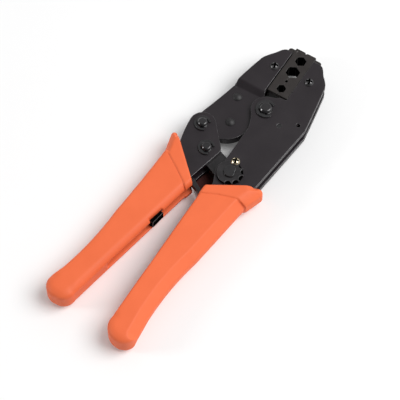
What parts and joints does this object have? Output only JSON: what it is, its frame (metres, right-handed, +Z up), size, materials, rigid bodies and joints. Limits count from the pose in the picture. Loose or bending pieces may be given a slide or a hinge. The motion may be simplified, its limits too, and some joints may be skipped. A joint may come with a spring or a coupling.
{
  "type": "ratchet crimping tool",
  "caption": "Hand crimping tool with ratchet toggle linkage, split hex dies, notched adjusting wheel and moulded sleeve grips, lying flat with its jaws closed.",
  "frame": {"origin": "centre of the footprint, on the surface that the tool lies on", "axes": "+Z up out of the front side, the side with the adjusting wheel; +Y along the closed joint line of the dies, towards the head; +X towards the fixed handle"},
  "size_m": [0.0774, 0.2326, 0.0187],
  "materials": {
    "black_steel": "satin black oxide finish on laser-cut plate, bright along cut edges",
    "die_steel": "satin dark brown-black oxide on machined dies",
    "hardened_steel": "dark oxide, satin, slightly oily",
    "blued_pin": "glossy black oxide on turned pins and rivets",
    "spring_steel": "dark phosphated spring steel",
    "spring_wire": "bright spring wire",
    "black_screw": "glossy black zinc screws",
    "plated_screw": "yellow zinc plated screw",
    "orange_grip": "soft orange moulded plastic with a fine satin texture"
  },
  "bodies": {
    "frame": {"frame_plate_front": "black_steel", "frame_plate_rear": "black_steel", "frame_dowel": "blued_pin", "fixed_tang_rivets": "blued_pin", "fixed_die": "die_steel", "fixed_die_screw": "black_screw", "main_pivot_pin": "blued_pin", "main_pivot_clip": "spring_steel", "adjuster_pin": "blued_pin", "adjuster_wheel": "hardened_steel", "adjuster_lock_screw": "plated_screw", "adjuster_clip": "spring_steel", "return_spring_post": "blued_pin", "return_spring": "spring_wire", "fixed_grip": "orange_grip"},
    "jaw": {"jaw_plate_front": "black_steel", "jaw_plate_rear": "black_steel", "jaw_rivets": "blued_pin", "moving_die": "die_steel", "moving_die_screw": "black_screw"},
    "handle": {"handle_plate_front": "black_steel", "handle_plate_rear": "black_steel", "handle_pin": "blued_pin", "handle_pin_clip": "spring_steel", "toggle_pin": "blued_pin", "toggle_pin_clip": "spring_steel", "pawl_pin": "blued_pin", "spring_anchor": "hardened_steel", "pawl_spring": "spring_wire", "moving_tang_rivets": "blued_pin", "moving_grip": "orange_grip"},
    "link": {"toggle_link": "hardened_steel"},
    "ratchet_pawl": {"pawl": "hardened_steel"}
  },
  "joints": [
    {"name": "jaw_pivot", "type": "hinge", "parent": "frame", "child": "jaw", "pos_m": [0.0091, 0.06541, 0.009], "axis": [0, 0, 1], "range_deg": [0, 18]},
    {"name": "handle_pivot", "type": "hinge", "parent": "jaw", "child": "handle", "pos_m": [-0.019, 0.03531, 0.009], "axis": [0, 0, 1], "range_deg": [-59.5, 0]},
    {"name": "link_pivot", "type": "hinge", "parent": "frame", "child": "link", "pos_m": [0.0141, 0.01391, 0.009], "axis": [0, 0, 1], "range_deg": [0, 32.1], "deforming": ["return_spring"]},
    {"name": "pawl_pivot", "type": "hinge", "parent": "handle", "child": "ratchet_pawl", "pos_m": [-0.0112, 0.00051, 0.009], "axis": [0, 0, 1], "range_deg": [-12, 12], "stiffness_Nm_per_rad": 0.02, "deforming": ["pawl_spring"]}
  ],
  "couplings": [
    {"joint": "handle_pivot", "follows": "jaw_pivot", "ratio": -3.3},
    {"joint": "link_pivot", "follows": "jaw_pivot", "ratio": 1.78}
  ]
}
